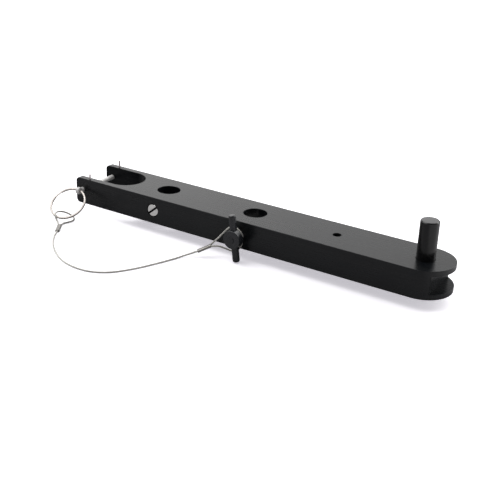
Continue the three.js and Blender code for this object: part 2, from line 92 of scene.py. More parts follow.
def new_object(name, verts, faces, smooth=35.0):
    """verts in millimetres; smooth is the sharp-edge angle in degrees."""
    mesh = bpy.data.meshes.new(name)
    mesh.from_pydata([tuple(float(c) * MM for c in v) for v in verts], [], faces)
    mesh.validate()
    bm = bmesh.new()
    bm.from_mesh(mesh)
    bmesh.ops.remove_doubles(bm, verts=bm.verts, dist=1e-8)
    bmesh.ops.recalc_face_normals(bm, faces=bm.faces)
    if bm.calc_volume(signed=True) < 0:
        bmesh.ops.reverse_faces(bm, faces=bm.faces)
    bm.to_mesh(mesh)
    bm.free()
    ob = bpy.data.objects.new(name, mesh)
    scene.collection.objects.link(ob)
    shade(ob, smooth)
    return ob


def shade(ob, degrees):
    mesh = ob.data
    mesh.polygons.foreach_set("use_smooth", [True] * len(mesh.polygons))
    mesh.set_sharp_from_angle(angle=math.radians(degrees))
    mesh.update()


def fillet(stations, steps=5):
    """Rounds an open profile of (radius, height, corner rounding) rows."""
    out = []
    for i, (radius, height, rounding) in enumerate(stations):
        if rounding <= 0:
            out.append((radius, height))
            continue
        corner = np.array((radius, height), float)
        before = np.array(stations[i - 1][:2], float) - corner
        after = np.array(stations[i + 1][:2], float) - corner
        before_len, after_len = np.linalg.norm(before), np.linalg.norm(after)
        before, after = before / before_len, after / after_len
        half = math.acos(float(np.clip(before @ after, -1, 1))) / 2
        # short sides limit the rounding
        setback = min(rounding / math.tan(half), before_len * 0.49, after_len * 0.49)
        fitted = setback * math.tan(half)
        middle = before + after
        centre = corner + middle / np.linalg.norm(middle) * (fitted / math.sin(half))
        start = corner + before * setback - centre
        end = corner + after * setback - centre
        total = math.acos(float(np.clip(start @ end / (fitted * fitted), -1, 1)))
        sign = 1 if start[0] * end[1] - start[1] * end[0] > 0 else -1
        for k in range(steps + 1):
            q = sign * total * k / steps
            out.append(
                (
                    centre[0] + start[0] * math.cos(q) - start[1] * math.sin(q),
                    centre[1] + start[0] * math.sin(q) + start[1] * math.cos(q),
                )
            )
    return out


def lathe(name, profile, sides=96, at=(0, 0, 0), axis=UP, closed=False, smooth=35.0):
    """Turns (radius, height) points about an axis. Open profiles start and end on it."""
    verts, faces, rows = [], [], []
    for radius, height in profile:
        if radius < 1e-9:
            rows.append([len(verts)])
            verts.append((0, 0, height))
        else:
            rows.append(list(range(len(verts), len(verts) + sides)))
            for k in range(sides):
                q = 2 * math.pi * k / sides
                verts.append((radius * math.cos(q), radius * math.sin(q), height))
    pairs = list(zip(rows, rows[1:]))
    if closed:
        pairs.append((rows[-1], rows[0]))
    for low, high in pairs:
        if len(low) == 1 and len(high) == 1:
            continue
        for k in range(sides):
            j = (k + 1) % sides
            if len(low) == 1:
                faces.append((low[0], high[k], high[j]))
            elif len(high) == 1:
                faces.append((low[k], low[j], high[0]))
            else:
                faces.append((low[k], low[j], high[j], high[k]))
    turn = Vector((0, 0, 1)).rotation_difference(Vector(axis).normalized()).to_matrix()
    origin = Vector(at)
    verts = [tuple(turn @ Vector(v) + origin) for v in verts]
    return new_object(name, verts, faces, smooth)


def drill(radius, at, axis, start, end, sides=96):
    """A round cutter running from start to end along the axis."""
    profile = [(0, start), (radius, start), (radius, end), (0, end)]
    return lathe("cutter", profile, sides, at, axis)


def prism(name, outline, bottom, top):
    """Extrudes a closed (x, y) outline upwards."""
    n = len(outline)
    verts = [(x, y, z) for z in (bottom, top) for x, y in outline]
    faces = [tuple(range(n))[::-1], tuple(range(n, 2 * n))]
    for k in range(n):
        j = (k + 1) % n
        faces.append((k, j, n + j, n + k))
    return new_object(name, verts, faces)


def block(name, verts):
    """A six-sided block from two rings of four corners."""
    faces = [(0, 3, 2, 1), (4, 5, 6, 7), (0, 1, 5, 4), (1, 2, 6, 5), (2, 3, 7, 6), (3, 0, 4, 7)]
    return new_object(name, verts, faces)


def loft(name, rows, smooth):
    """Skins equal rings of points and closes both ends."""
    n = len(rows[0])
    faces = []
    for i in range(len(rows) - 1):
        for k in range(n):
            j = (k + 1) % n
            faces.append((i * n + k, i * n + j, (i + 1) * n + j, (i + 1) * n + k))
    faces.append(tuple(range(n))[::-1])
    faces.append(tuple((len(rows) - 1) * n + k for k in range(n)))
    return new_object(name, [v for row in rows for v in row], faces, smooth)


def arc(x, y, radius, start, end, steps):
    """Points on an arc, angles in degrees."""
    angles = [math.radians(start + (end - start) * k / steps) for k in range(steps + 1)]
    return [(x + radius * math.cos(q), y + radius * math.sin(q)) for q in angles]


def apply_modifiers(ob):
    depsgraph = bpy.context.evaluated_depsgraph_get()
    mesh = bpy.data.meshes.new_from_object(ob.evaluated_get(depsgraph), depsgraph=depsgraph)
    ob.modifiers.clear()
    ob.data = mesh


def boolean(ob, cutters, operation="DIFFERENCE"):
    for cutter in cutters:
        mod = ob.modifiers.new("b", "BOOLEAN")
        mod.operation = operation
        mod.solver = "EXACT"
        mod.object = cutter
        bpy.context.view_layer.update()
        apply_modifiers(ob)
    for cutter in cutters:
        bpy.data.objects.remove(cutter)


def bevel(ob, width, segments, angle):
    """Breaks the outer corners only; inside corners stay as cut."""
    bm = bmesh.new()
    bm.from_mesh(ob.data)
    weight = bm.edges.layers.float.new("bevel_weight_edge")
    least = math.radians(angle)
    for edge in bm.edges:
        outer = edge.is_manifold and edge.calc_face_angle_signed(0.0) > least
        edge[weight] = 1.0 if outer else 0.0
    bm.to_mesh(ob.data)
    bm.free()
    mod = ob.modifiers.new("bevel", "BEVEL")
    mod.width = width * MM
    mod.segments = segments
    mod.limit_method = "WEIGHT"
    mod.use_clamp_overlap = False
    mod.miter_outer = "MITER_ARC"
    bpy.context.view_layer.update()
    apply_modifiers(ob)


FLAT_AREA = 55.0  # mm2; axis-aligned planes larger than this count as flat
FLAT_COS = 0.64  # a face this close to a flat neighbour takes its normal
SMOOTH_ANGLE = 38.0  # degrees; the rest is averaged within this


def flat_normals(ob):
    """Flat faces keep their own normal right up to their rounded edges; the
    rest is smoothed with its neighbours."""
    mesh = ob.data
    count = len(mesh.polygons)
    normals = np.empty(count * 3)
    mesh.polygons.foreach_get("normal", normals)
    normals = normals.reshape(-1, 3)
    centres = np.empty(count * 3)
    mesh.polygons.foreach_get("center", centres)
    centres = centres.reshape(-1, 3) * 1000
    areas = np.empty(count)
    mesh.polygons.foreach_get("area", areas)
    areas *= 1e6

    # total the faces lying in each axis-aligned plane
    plane_area = {}
    plane_of = [None] * count
    for f in range(count):
        axis = int(np.argmax(np.abs(normals[f])))
        along = normals[f][axis]
        if abs(along) > 0.99998:
            plane = (axis, 1 if along > 0 else -1, round(float(centres[f][axis]), 1))
            plane_of[f] = plane
            plane_area[plane] = plane_area.get(plane, 0.0) + areas[f]
    flat = [p is not None and plane_area[p] > FLAT_AREA for p in plane_of]

    touching = [[] for _ in range(len(mesh.vertices))]
    for poly in mesh.polygons:
        for v in poly.vertices:
            touching[v].append(poly.index)

    smooth_cos = math.cos(math.radians(SMOOTH_ANGLE))
    out = [None] * len(mesh.loops)
    for poly in mesh.polygons:
        own = normals[poly.index]
        for loop in poly.loop_indices:
            if flat[poly.index]:
                out[loop] = tuple(own)
                continue
            around = touching[mesh.loops[loop].vertex_index]
            best, best_cos = None, FLAT_COS
            for f in around:
                if flat[f] and normals[f] @ own > best_cos:
                    best, best_cos = f, normals[f] @ own
            if best is not None:
                out[loop] = tuple(normals[best])
                continue
            total = np.zeros(3)
            for f in around:
                if normals[f] @ own > smooth_cos:
                    total += normals[f] * areas[f]
            length = np.linalg.norm(total)
            out[loop] = tuple(total / length) if length > 1e-12 else tuple(own)
    mesh.normals_split_custom_set(out)
    mesh.update()


def clean(ob):
    """Merges slivers and coplanar faces left by the cuts."""
    dist = 4e-6
    bm = bmesh.new()
    bm.from_mesh(ob.data)
    bmesh.ops.remove_doubles(bm, verts=bm.verts, dist=dist)
    bmesh.ops.dissolve_degenerate(bm, edges=bm.edges, dist=dist)
    bmesh.ops.dissolve_limit(
        bm,
        angle_limit=math.radians(0.4),
        use_dissolve_boundaries=False,
        verts=bm.verts,
        edges=bm.edges,
    )
    bmesh.ops.dissolve_degenerate(bm, edges=bm.edges, dist=dist)
    bm.to_mesh(ob.data)
    bm.free()


def spline(points, step):
    """Centripetal Catmull-Rom through the points, resampled at even arc length.
    Returns the path and the length run at each of its points."""
    points = [np.array(p, float) for p in points]
    first = points[0] - (points[1] - points[0])
    last = points[-1] - (points[-2] - points[-1])
    guides = [first] + points + [last]

    def knot(a, b):
        return max(np.linalg.norm(b - a) ** 0.5, 1e-6)

    per_span = 24
    out = []
    for i in range(1, len(guides) - 2):
        p0, p1, p2, p3 = guides[i - 1 : i + 3]
        t0 = 0.0
        t1 = t0 + knot(p0, p1)
        t2 = t1 + knot(p1, p2)
        t3 = t2 + knot(p2, p3)
        for k in range(per_span):
            t = t1 + (t2 - t1) * k / per_span
            a1 = (t1 - t) / (t1 - t0) * p0 + (t - t0) / (t1 - t0) * p1
            a2 = (t2 - t) / (t2 - t1) * p1 + (t - t1) / (t2 - t1) * p2
            a3 = (t3 - t) / (t3 - t2) * p2 + (t - t2) / (t3 - t2) * p3
            b1 = (t2 - t) / (t2 - t0) * a1 + (t - t0) / (t2 - t0) * a2
            b2 = (t3 - t) / (t3 - t1) * a2 + (t - t1) / (t3 - t1) * a3
            out.append((t2 - t) / (t2 - t1) * b1 + (t - t1) / (t2 - t1) * b2)
    out.append(points[-1])
    out = np.array(out)
    run = np.r_[0, np.cumsum(np.linalg.norm(np.diff(out, axis=0), axis=1))]
    count = max(8, int(round(run[-1] / step)))
    even = np.linspace(0, run[-1], count + 1)
    return np.stack([np.interp(even, run, out[:, k]) for k in range(3)], 1), even


def frames(path):
    """Twist-free pairs of directions across a path."""
    tangents = np.gradient(path, axis=0)
    tangents /= np.linalg.norm(tangents, axis=1)[:, None]
    steep = abs(tangents[0][2]) >= 0.9
    side = np.cross(np.array([1.0, 0, 0] if steep else [0, 0, 1.0]), tangents[0])
    side /= np.linalg.norm(side)
    sides = [side]
    for tangent in tangents[1:]:
        side = sides[-1] - tangent * (sides[-1] @ tangent)
        sides.append(side / np.linalg.norm(side))
    sides = np.array(sides)
    return sides, np.cross(tangents, sides)


def sweep(name, path, section, turn=None, span=None, smooth=50.0):
    """Sweeps a closed section along a path, or between the two stations in span.
    turn gives a twist in radians per station."""
    across, over = frames(path)
    first, last = span or (0, len(path) - 1)
    section = np.array(section, float)
    m = len(section)
    verts, faces = [], []
    for i in range(first, last + 1):
        q = turn[i] if turn is not None else 0.0
        c, s = math.cos(q), math.sin(q)
        x = section[:, 0] * c - section[:, 1] * s
        y = section[:, 0] * s + section[:, 1] * c
        for j in range(m):
            verts.append(path[i] + across[i] * x[j] + over[i] * y[j])
    rows = last - first
    for i in range(rows):
        for j in range(m):
            k = (j + 1) % m
            faces.append((i * m + j, i * m + k, (i + 1) * m + k, (i + 1) * m + j))
    for i, flip in ((0, True), (rows, False)):
        centre = len(verts)
        verts.append(path[first + i])
        for j in range(m):
            face = (i * m + j, i * m + (j + 1) % m, centre)
            faces.append(face[::-1] if flip else face)
    return new_object(name, verts, faces, smooth)


# ---------------------------------------------------------------------------
# Materials
# ---------------------------------------------------------------------------


class Graph:
    """Short ways to add nodes to a material or world. Values may be numbers,
    colours or sockets."""

    def __init__(self, owner):
        owner.use_nodes = True
        self.tree = owner.node_tree

    def node(self, kind):
        return self.tree.nodes.new(kind)

    def feed(self, socket, value):
        if isinstance(value, (int, float)):
            socket.default_value = value
        elif isinstance(value, tuple):
            socket.default_value = (*value, 1)
        else:
            self.tree.links.new(value, socket)

    def math(self, operation, *values):
        node = self.node("ShaderNodeMath")
        node.operation = operation
        for i, value in enumerate(values):
            self.feed(node.inputs[i], value)
        return node.outputs[0]

    def mix(self, factor, first, second):
        node = self.node("ShaderNodeMix")
        node.data_type = "RGBA"
        # factor and the two colours
        for i, value in ((0, factor), (6, first), (7, second)):
            self.feed(node.inputs[i], value)
        return node.outputs[2]

    def axes(self, source):
        node = self.node("ShaderNodeSeparateXYZ")
        self.feed(node.inputs[0], source)
        return node.outputs

    def map_smooth(self, value, start, end, low, high):
        """Eases from low to high as value goes from start to end."""
        node = self.node("ShaderNodeMapRange")
        node.interpolation_type = "SMOOTHSTEP"
        node.inputs["From Min"].default_value = start
        node.inputs["From Max"].default_value = end
        node.inputs["To Min"].default_value = low
        node.inputs["To Max"].default_value = high
        self.feed(node.inputs["Value"], value)
        return node.outputs["Result"]


class Surface(Graph):
    """A material textured in object coordinates."""

    def __init__(self, name):
        self.mat = bpy.data.materials.new(name)
        super().__init__(self.mat)
        self.coords = self.node("ShaderNodeTexCoord").outputs["Object"]

    def noise(self, scale, detail, rough, stretch=(1, 1, 1)):
        node = self.node("ShaderNodeTexNoise")
        node.inputs["Scale"].default_value = scale
        node.inputs["Detail"].default_value = detail
        node.inputs["Roughness"].default_value = rough
        mapping = self.node("ShaderNodeMapping")
        mapping.inputs["Scale"].default_value = stretch
        self.feed(mapping.inputs["Vector"], self.coords)
        self.feed(node.inputs["Vector"], mapping.outputs["Vector"])
        return node.outputs["Fac"]

    def ramp(self, factor, low, high):
        """Black up to low, white from high."""
        node = self.node("ShaderNodeValToRGB")
        for element, position in zip(node.color_ramp.elements, (low, high)):
            element.position = position
        self.feed(node.inputs["Fac"], factor)
        return node.outputs["Color"]

    def tint(self, noise, low, high, first, second, amount=None):
        """Goes from the first colour to the second where the noise is high."""
        factor = self.ramp(noise, low, high)
        if amount is not None:
            factor = self.math("MULTIPLY", factor, amount)
        return self.mix(factor, first, second)

    def vary(self, base, noise, amount):
        return self.math("ADD", base, self.math("MULTIPLY", noise, amount))

    def bump(self, height, strength, distance, normal=None):
        node = self.node("ShaderNodeBump")
        node.inputs["Strength"].default_value = strength
        node.inputs["Distance"].default_value = distance
        self.feed(node.inputs["Height"], height)
        if normal is not None:
            self.feed(node.inputs["Normal"], normal)
        return node.outputs["Normal"]

    def finish(self, **values):
        inputs = self.tree.nodes["Principled BSDF"].inputs
        for key, value in values.items():
            self.feed(inputs[key.replace("_", " ")], value)
        return self.mat


def dimmed(colour, factor):
    return tuple(c * factor for c in colour)


def anodised_material():
    g = Surface("anodised_bar")
    # lengthways drawn grain: long thin streaks
    grain = g.noise(scale=1.0, detail=6.0, rough=0.62, stretch=(22, 2600, 2600))
    streak = g.noise(scale=1.0, detail=3.0, rough=0.5, stretch=(9, 420, 420))
    cloud = g.noise(scale=26.0, detail=3.0, rough=0.55)
    dark, light, worn = (0.0036, 0.0044, 0.0056), (0.0060, 0.0070, 0.0084), (0.012, 0.0125, 0.0125)
    base = g.tint(cloud, low=0.3, high=0.7, first=dark, second=light)
    base = g.tint(streak, low=0.42, high=0.68, first=base, second=worn, amount=0.35)
    rough = g.vary(0.19, grain, amount=0.12)
    rough = g.vary(rough, g.ramp(cloud, low=0.35, high=0.75), amount=0.05)
    normal = g.bump(grain, strength=0.10, distance=0.0002)
    normal = g.bump(streak, strength=0.05, distance=0.0004, normal=normal)
    # painted shade: the end slot's inside is given less reflection, darkening it as a shaded
    # recess
    place = g.axes(g.coords)
    past_floor = g.math("GREATER_THAN", place["X"], (SLOT_FLOOR_X - 0.3) * MM)
    over_plate = g.math("GREATER_THAN", place["Z"], (PLATE - 0.1) * MM)
    under_plate = g.math("LESS_THAN", place["Z"], (HEIGHT - PLATE + 0.1) * MM)
    in_slot = g.math("MULTIPLY", past_floor, g.math("MULTIPLY", over_plate, under_plate))
    # and so are the fork's inner walls
    fork_x = g.math("LESS_THAN", place["X"], (FORK_ROOT_X + FORK_GAP / 2 + 0.6) * MM)
    off_middle = g.math("ABSOLUTE", place["Y"])
    fork_y = g.math("LESS_THAN", off_middle, (FORK_GAP / 2 + 0.05) * MM)
    off_level = g.math("ABSOLUTE", g.math("SUBTRACT", place["Z"], HEIGHT / 2 * MM))
    fork_z = g.math("LESS_THAN", off_level, (HEIGHT / 2 - 0.35) * MM)
    in_fork = g.math("MULTIPLY", fork_x, g.math("MULTIPLY", fork_y, fork_z))
    inside = g.math("MAXIMUM", in_slot, in_fork)
    # painted shade: reflection is lowered inside the slot and the fork
    specular_less_in_shade = g.math("SUBTRACT", 0.5, g.math("MULTIPLY", inside, 0.36))
    return g.finish(Base_Color=base, Roughness=rough, IOR=1.36, Metallic=0.0,
                    Normal=normal, Specular_IOR_Level=specular_less_in_shade)


def black_pin_material():
    g = Surface("black_pin")
    rings = g.noise(scale=1.0, detail=3.0, rough=0.6, stretch=(60, 60, 2600))
    cloud = g.noise(scale=60.0, detail=4.0, rough=0.6)
    dark, light, line = (0.003, 0.003, 0.0035), (0.007, 0.007, 0.0075), (0.014, 0.014, 0.0145)
    base = g.tint(cloud, low=0.3, high=0.75, first=dark, second=light)
    base = g.tint(rings, low=0.5, high=0.75, first=base, second=line, amount=0.3)
    # painted reflection: the flat top is painted paler, standing in for the bright backdrop it
    # mirrors
    painted_bright_top = g.math("GREATER_THAN", g.axes(g.coords)["Z"], (HEIGHT + 33.3) * MM)
    base = g.mix(painted_bright_top, base, (0.075, 0.075, 0.077))
    rough = g.vary(0.14, rings, amount=0.10)
    return g.finish(Base_Color=base, Roughness=rough, IOR=1.36, Metallic=0.0,
                    Normal=g.bump(rings, strength=0.08, distance=0.0002))


# how the fine lines are squeezed along each axis: bands across Y or Z, or none
LINES = {"Y": (40, 1800, 40), "Z": (40, 40, 1800), "even": (300, 300, 300)}


def steel_material(name, tint, rough, lines="even", spread=0.16, relief=0.08, metal=1.0,
                   painted_shade_past_y=None):
    """spread varies the roughness, relief is the bump's strength."""
    g = Surface(name)
    noise = g.noise(scale=1.0, detail=4.0, rough=0.6, stretch=LINES[lines])
    cloud = g.noise(scale=110.0, detail=4.0, rough=0.55)
    base = g.tint(cloud, low=0.35, high=0.7, first=tint, second=dimmed(tint, 0.80))
    base = g.tint(noise, low=0.5, high=0.75, first=base, second=dimmed(tint, 0.6), amount=0.25)
    if painted_shade_past_y is not None:
        # painted shade in the cut slot and down the thread
        in_painted_shade = g.math("GREATER_THAN", g.axes(g.coords)["Y"], painted_shade_past_y * MM)
        base = g.mix(in_painted_shade, base, (0.012, 0.012, 0.013))
    return g.finish(Base_Color=base, Roughness=g.vary(rough, noise, spread), Metallic=metal,
                    Normal=g.bump(noise, strength=relief, distance=0.0001))


def coated_material(name, dark, light, rough):
    g = Surface(name)
    speck = g.noise(scale=1500.0, detail=3.0, rough=0.6)
    cloud = g.noise(scale=90.0, detail=4.0, rough=0.6)
    bright = dimmed(light, 1.6)
    base = g.tint(cloud, low=0.3, high=0.7, first=dark, second=light)
    base = g.tint(speck, low=0.55, high=0.75, first=base, second=bright, amount=0.4)
    return g.finish(Base_Color=base, Roughness=g.vary(rough, speck, amount=0.12),
                    Metallic=0.05, IOR=1.5,
                    Normal=g.bump(speck, strength=0.12, distance=0.00025))


MATERIALS = {
    "bar": anodised_material(),
    "pin_black": black_pin_material(),
    "stainless": steel_material(
        "stainless_turned", tint=(0.80, 0.79, 0.77), rough=0.36, lines="Y", metal=0.55),
    "ring_pin": steel_material(
        "ring_pin_turned", tint=(0.78, 0.77, 0.76), rough=0.38, lines="Y", metal=0.15),
    "keeper": steel_material(
        "keeper_wire", tint=(0.66, 0.58, 0.58), rough=0.35, lines="Z", metal=0.15),
    "screw": steel_material(
        "screw_face", tint=(0.93, 0.92, 0.90), rough=0.20, spread=0.12, relief=0.05,
        painted_shade_past_y=-HALF_W + 0.62),
    "ring": steel_material(
        "ring_wire", tint=(0.54, 0.50, 0.47), rough=0.28, spread=0.12, metal=0.55),
    "rope": steel_material(
        "rope_strand", tint=(0.66, 0.65, 0.61), rough=0.34, spread=0.12, metal=0.5),
    "ferrule": steel_material(
        "ferrule_sleeve", tint=(0.36, 0.35, 0.33), rough=0.34, spread=0.2, relief=0.2),
    "spring": steel_material("spring_wire", tint=(0.60, 0.60, 0.58), rough=0.25),
    "handle": coated_material(
        "handle_coat", dark=(0.010, 0.011, 0.0135), light=(0.018, 0.020, 0.0235), rough=0.20),
    "button": coated_material(
        "button_coat", dark=(0.008, 0.0085, 0.010), light=(0.015, 0.016, 0.019), rough=0.36),
}


def finish_piece(ob, material, body, node):
    ob.data.materials.clear()
    ob.data.materials.append(MATERIALS[material])
    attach(ob, body)
    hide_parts(node)


# ---------------------------------------------------------------------------
# Bar
# ---------------------------------------------------------------------------
FORK_CORNER_R = 4.0
BORE_R = 10.75
SMALL_HOLE_R, SMALL_HOLE_X = 3.8, 129.2
PAST = 4  # how far cutters run past the bar


def side_view_block():
    """The bar's side view, its fork end rounded above and below, drawn out along Y."""
    corner_x = FORK_END + FORK_CORNER_R
    side = (
        arc(corner_x, FORK_CORNER_R, FORK_CORNER_R, 270, 180, 14)
        + arc(corner_x, HEIGHT - FORK_CORNER_R, FORK_CORNER_R, 180, 90, 14)
        + [(ROUND_END + 8, HEIGHT), (ROUND_END + 8, 0.0)]
    )
    n = len(side)
    verts = [(x, y, z) for y in (-HALF_W - 5, HALF_W + 5) for x, z in side]
    faces = [tuple(range(n)), tuple(range(n, 2 * n))[::-1]]
    faces += [(k, (k + 1) % n, n + (k + 1) % n, n + k) for k in range(n)]
    return new_object("side_view", verts, faces)


def build_bar():
    outline = (
        [(FORK_END, -HALF_W)]
        + arc(ROUND_X, 0, HALF_W, -90, 90, 96)
        + [(FORK_END, HALF_W)]
    )
    bar = prism("bar", outline, 0, HEIGHT)
    boolean(bar, [side_view_block()], "INTERSECT")

    gap = (
        [(FORK_END - 4, -FORK_GAP / 2)]
        + arc(FORK_ROOT_X, 0, FORK_GAP / 2, -90, 90, 72)
        + [(FORK_END - 4, FORK_GAP / 2)]
    )
    cutters = [prism("fork_gap", gap, -PAST, HEIGHT + PAST)]
    # upright holes: radius, x, sides
    for radius, x, sides in (
        (BORE_R, SCREW_X, 112),
        (BORE_R, T_X, 112),
        (SMALL_HOLE_R, SMALL_HOLE_X, 64),
        (8.0, ROUND_X, 96),
    ):
        cutters.append(drill(radius, (x, 0, 0), UP, -PAST, HEIGHT + PAST, sides))
    near, far = -HALF_W - PAST, HALF_W + PAST
    slot = [(SLOT_FLOOR_X, near), (ROUND_END + 6, near), (ROUND_END + 6, far), (SLOT_FLOOR_X, far)]
    cutters.append(
        block("end_slot", [(x, y, z) for z in (PLATE, HEIGHT - PLATE) for x, y in slot])
    )
    # cross holes: radius, x, z, rear end, sides
    for radius, x, z, rear, sides in (
        (6.28, SCREW_X, HEIGHT / 2, -8, 72),
        (4.05, T_X, T_Z, far, 80),
        (2.46, RING_PIN_X, RING_PIN_Z, far, 40),
    ):
        cutters.append(drill(radius, (x, 0, z), REARWARD, near, rear, sides))
    for y in (-KEEPER_Y, KEEPER_Y):
        cutters.append(drill(0.84, (KEEPER_X, y, 0), UP, HEIGHT - 6, HEIGHT + PAST, 24))
    boolean(bar, cutters)
    clean(bar)
    bevel(bar, width=0.38, segments=3, angle=28)
    shade(bar, 30)
    flat_normals(bar)
    finish_piece(bar, "bar", "beam", "beam_bar")


# ---------------------------------------------------------------------------
# Keeper pins, upright pin and set screw
# ---------------------------------------------------------------------------
KEEPER_R = 0.8
UPRIGHT_R = 7.94


def build_keepers():
    for name, y, rise, node in (
        ("keeper_front", -KEEPER_Y, 4.8, "keeper_pin_front"),
        ("keeper_rear", KEEPER_Y, 6.8, "keeper_pin_rear"),
    ):
        profile = fillet([
            (0, HEIGHT - 5.9, 0),
            (KEEPER_R, HEIGHT - 5.9, 0.1),
            (KEEPER_R, HEIGHT + rise, 0.35),
            (0, HEIGHT + rise, 0),
        ])
        keeper = lathe(name, profile, 28, (KEEPER_X, y, 0))
        finish_piece(keeper, "keeper", "beam", node)


def build_upright_pin():
    profile = fillet([
        (0, 0.2, 0),
        (UPRIGHT_R - 0.6, 0.2, 0.25),
        (UPRIGHT_R, 0.8, 0.25),
        (UPRIGHT_R, UPRIGHT_TOP - 0.9, 0.35),
        (UPRIGHT_R - 0.9, UPRIGHT_TOP, 0.35),
        (0, UPRIGHT_TOP, 0),
    ])
    pin = lathe("upright_pin", profile, 112, (ROUND_X, 0, 0), smooth=24)
    finish_piece(pin, "pin_black", "upright_pin", "clevis_pin")


SCREW_R, SCREW_LENGTH = 6.2, 11.5
THREAD_PITCH, THREAD_DEPTH = 1.95, 0.85
SCREW_CHAMFER = 0.7
DRIVE_ANGLE, DRIVE_HALF_W = math.radians(40), 0.95  # the straight slot in its face


def thread_rows(sides=72, per_turn=10):
    """Rings of the screw, front to rear; the helix comes from the radius."""
    count = int(SCREW_LENGTH / THREAD_PITCH * per_turn)
    rows = []
    for i in range(count + 1):
        depth = SCREW_LENGTH * i / count
        to_end = min(depth, SCREW_LENGTH - depth)
        row = []
        for k in range(sides):
            q = 2 * math.pi * k / sides
            phase = (depth / THREAD_PITCH - k / sides) % 1.0
            crest = min(max((abs(2 * phase - 1) - 0.12) / 0.76, 0), 1)
            radius = SCREW_R - THREAD_DEPTH * (1 - crest)
            # chamfered ends run the thread out
            radius = min(radius, SCREW_R - max(0.0, SCREW_CHAMFER - to_end))
            row.append((
                radius * math.cos(q) + SCREW_X,
                depth + SCREW_FACE_Y,
                HEIGHT / 2 - radius * math.sin(q),
            ))
        rows.append(row)
    return rows


def build_set_screw():
    screw = loft("set_screw_body", thread_rows(), 40)
    c, s = math.cos(DRIVE_ANGLE), math.sin(DRIVE_ANGLE)
    half_length = SCREW_R * 1.3
    corners = []
    for depth in (-2.0, 1.9):
        for along, over in ((-1, -1), (1, -1), (1, 1), (-1, 1)):
            u, v = along * half_length, over * DRIVE_HALF_W
            corners.append(
                (SCREW_X + u * c - v * s, SCREW_FACE_Y + depth, HEIGHT / 2 + u * s + v * c)
            )
    boolean(screw, [block("drive_slot", corners)])
    clean(screw)
    shade(screw, 35)
    finish_piece(screw, "screw", "screw", "set_screw")


# ---------------------------------------------------------------------------
# Ring pin and split ring
# ---------------------------------------------------------------------------
RING_PIN_R = 2.38
EYE_Y, EYE_R, EYE_THICK = -30.8, 3.3, 3.2
EYE_HOLE = (RING_PIN_X, -30.0, RING_PIN_Z)
# the ring's frame: along the eye's hole, square to the ring, and outwards in its plane
HOLE_DIR = np.array([0.98716, -0.08569, -0.13477])
HOLE_DIR /= np.linalg.norm(HOLE_DIR)
RING_NORMAL = np.array([0.0607, -0.57907, 0.81302])
RING_NORMAL = RING_NORMAL - HOLE_DIR * (RING_NORMAL @ HOLE_DIR)
RING_NORMAL /= np.linalg.norm(RING_NORMAL)
RING_OUT = np.cross(HOLE_DIR, RING_NORMAL)
RING_R, RING_TURNS = 17.0, 1.93
WIRE_HALF_W, WIRE_HALF_T = 0.95, 0.49
COIL_OFFSET = 0.51  # of each coil from the ring's middle plane


def eye_tongue():
    """The flattened eye at the pin's front end, an outline in (y, z) drawn along X."""
    outline = [
        (EYE_Y - EYE_R * math.cos(q), EYE_R * math.sin(q))
        for q in np.linspace(-math.pi / 2, math.pi / 2, 33)
    ]
    # the sides narrow into the shank: distance behind EYE_Y, half height
    neck = [(1.4, EYE_R), (2.6, 2.55), (3.6, 1.9)]
    outline += [(EYE_Y + y, z) for y, z in neck]
    outline += [(EYE_Y + y, -z) for y, z in neck[::-1]]
    n = len(outline)
    verts = [
        (x, y, RING_PIN_Z + z)
        for x in (RING_PIN_X - EYE_THICK / 2, RING_PIN_X + EYE_THICK / 2)
        for y, z in outline
    ]
    faces = [tuple(range(n)), tuple(range(n, 2 * n))[::-1]]
    faces += [(k, n + k, n + (k + 1) % n, (k + 1) % n) for k in range(n)]
    tongue = new_object("tongue", verts, faces)
    bevel(tongue, width=0.45, segments=3, angle=40)
    return tongue


def build_ring_pin():
    profile = fillet([
        (0, EYE_Y + 1.6, 0),
        (EYE_THICK / 2, EYE_Y + 1.6, 0),
        (RING_PIN_R, EYE_Y + 3.2, 0.6),
        (RING_PIN_R, 29.0, 1.1),
        (0, 29.0, 0),
    ], steps=6)
    pin = lathe("ring_pin_body", profile, 64, (RING_PIN_X, 0, RING_PIN_Z), REARWARD)
    boolean(pin, [eye_tongue()], "UNION")
    boolean(pin, [drill(1.4, EYE_HOLE, tuple(HOLE_DIR), -6, 6, 40)])
    clean(pin)
    shade(pin, 32)
    flat_normals(pin)
    finish_piece(pin, "ring_pin", "fork_pin", "ring_pin")


def build_split_ring():
    """One flat wire wound nearly twice, the coils lying side by side."""
    centre = np.array(EYE_HOLE) + RING_OUT * RING_R
    # rounded-rectangle wire, wider across the ring than it is thick
    section = []
    for k in range(20):
        q = 2 * math.pi * k / 20
        c, s = math.cos(q), math.sin(q)
        swell = (abs(c) ** 3 + abs(s) ** 3) ** (-1 / 3)
        section.append((WIRE_HALF_W * swell * c, WIRE_HALF_T * swell * s))
    start, count = math.radians(205), 300
    rows = []
    for i in range(count + 1):
        t = i / count
        q = start + 2 * math.pi * RING_TURNS * t
        # sides change over within a short stretch, so that the two coils lie flat
        change = min(max((t * RING_TURNS - 0.90) / 0.16, 0), 1)
        offset = -COIL_OFFSET + 2 * COIL_OFFSET * change
        radial = math.cos(q) * HOLE_DIR + math.sin(q) * RING_OUT
        middle = centre + RING_R * radial + RING_NORMAL * offset
        rows.append([middle + radial * x + RING_NORMAL * y for x, y in section])
    finish_piece(loft("split_ring_wire", rows, 50), "ring", "ring", "split_ring")


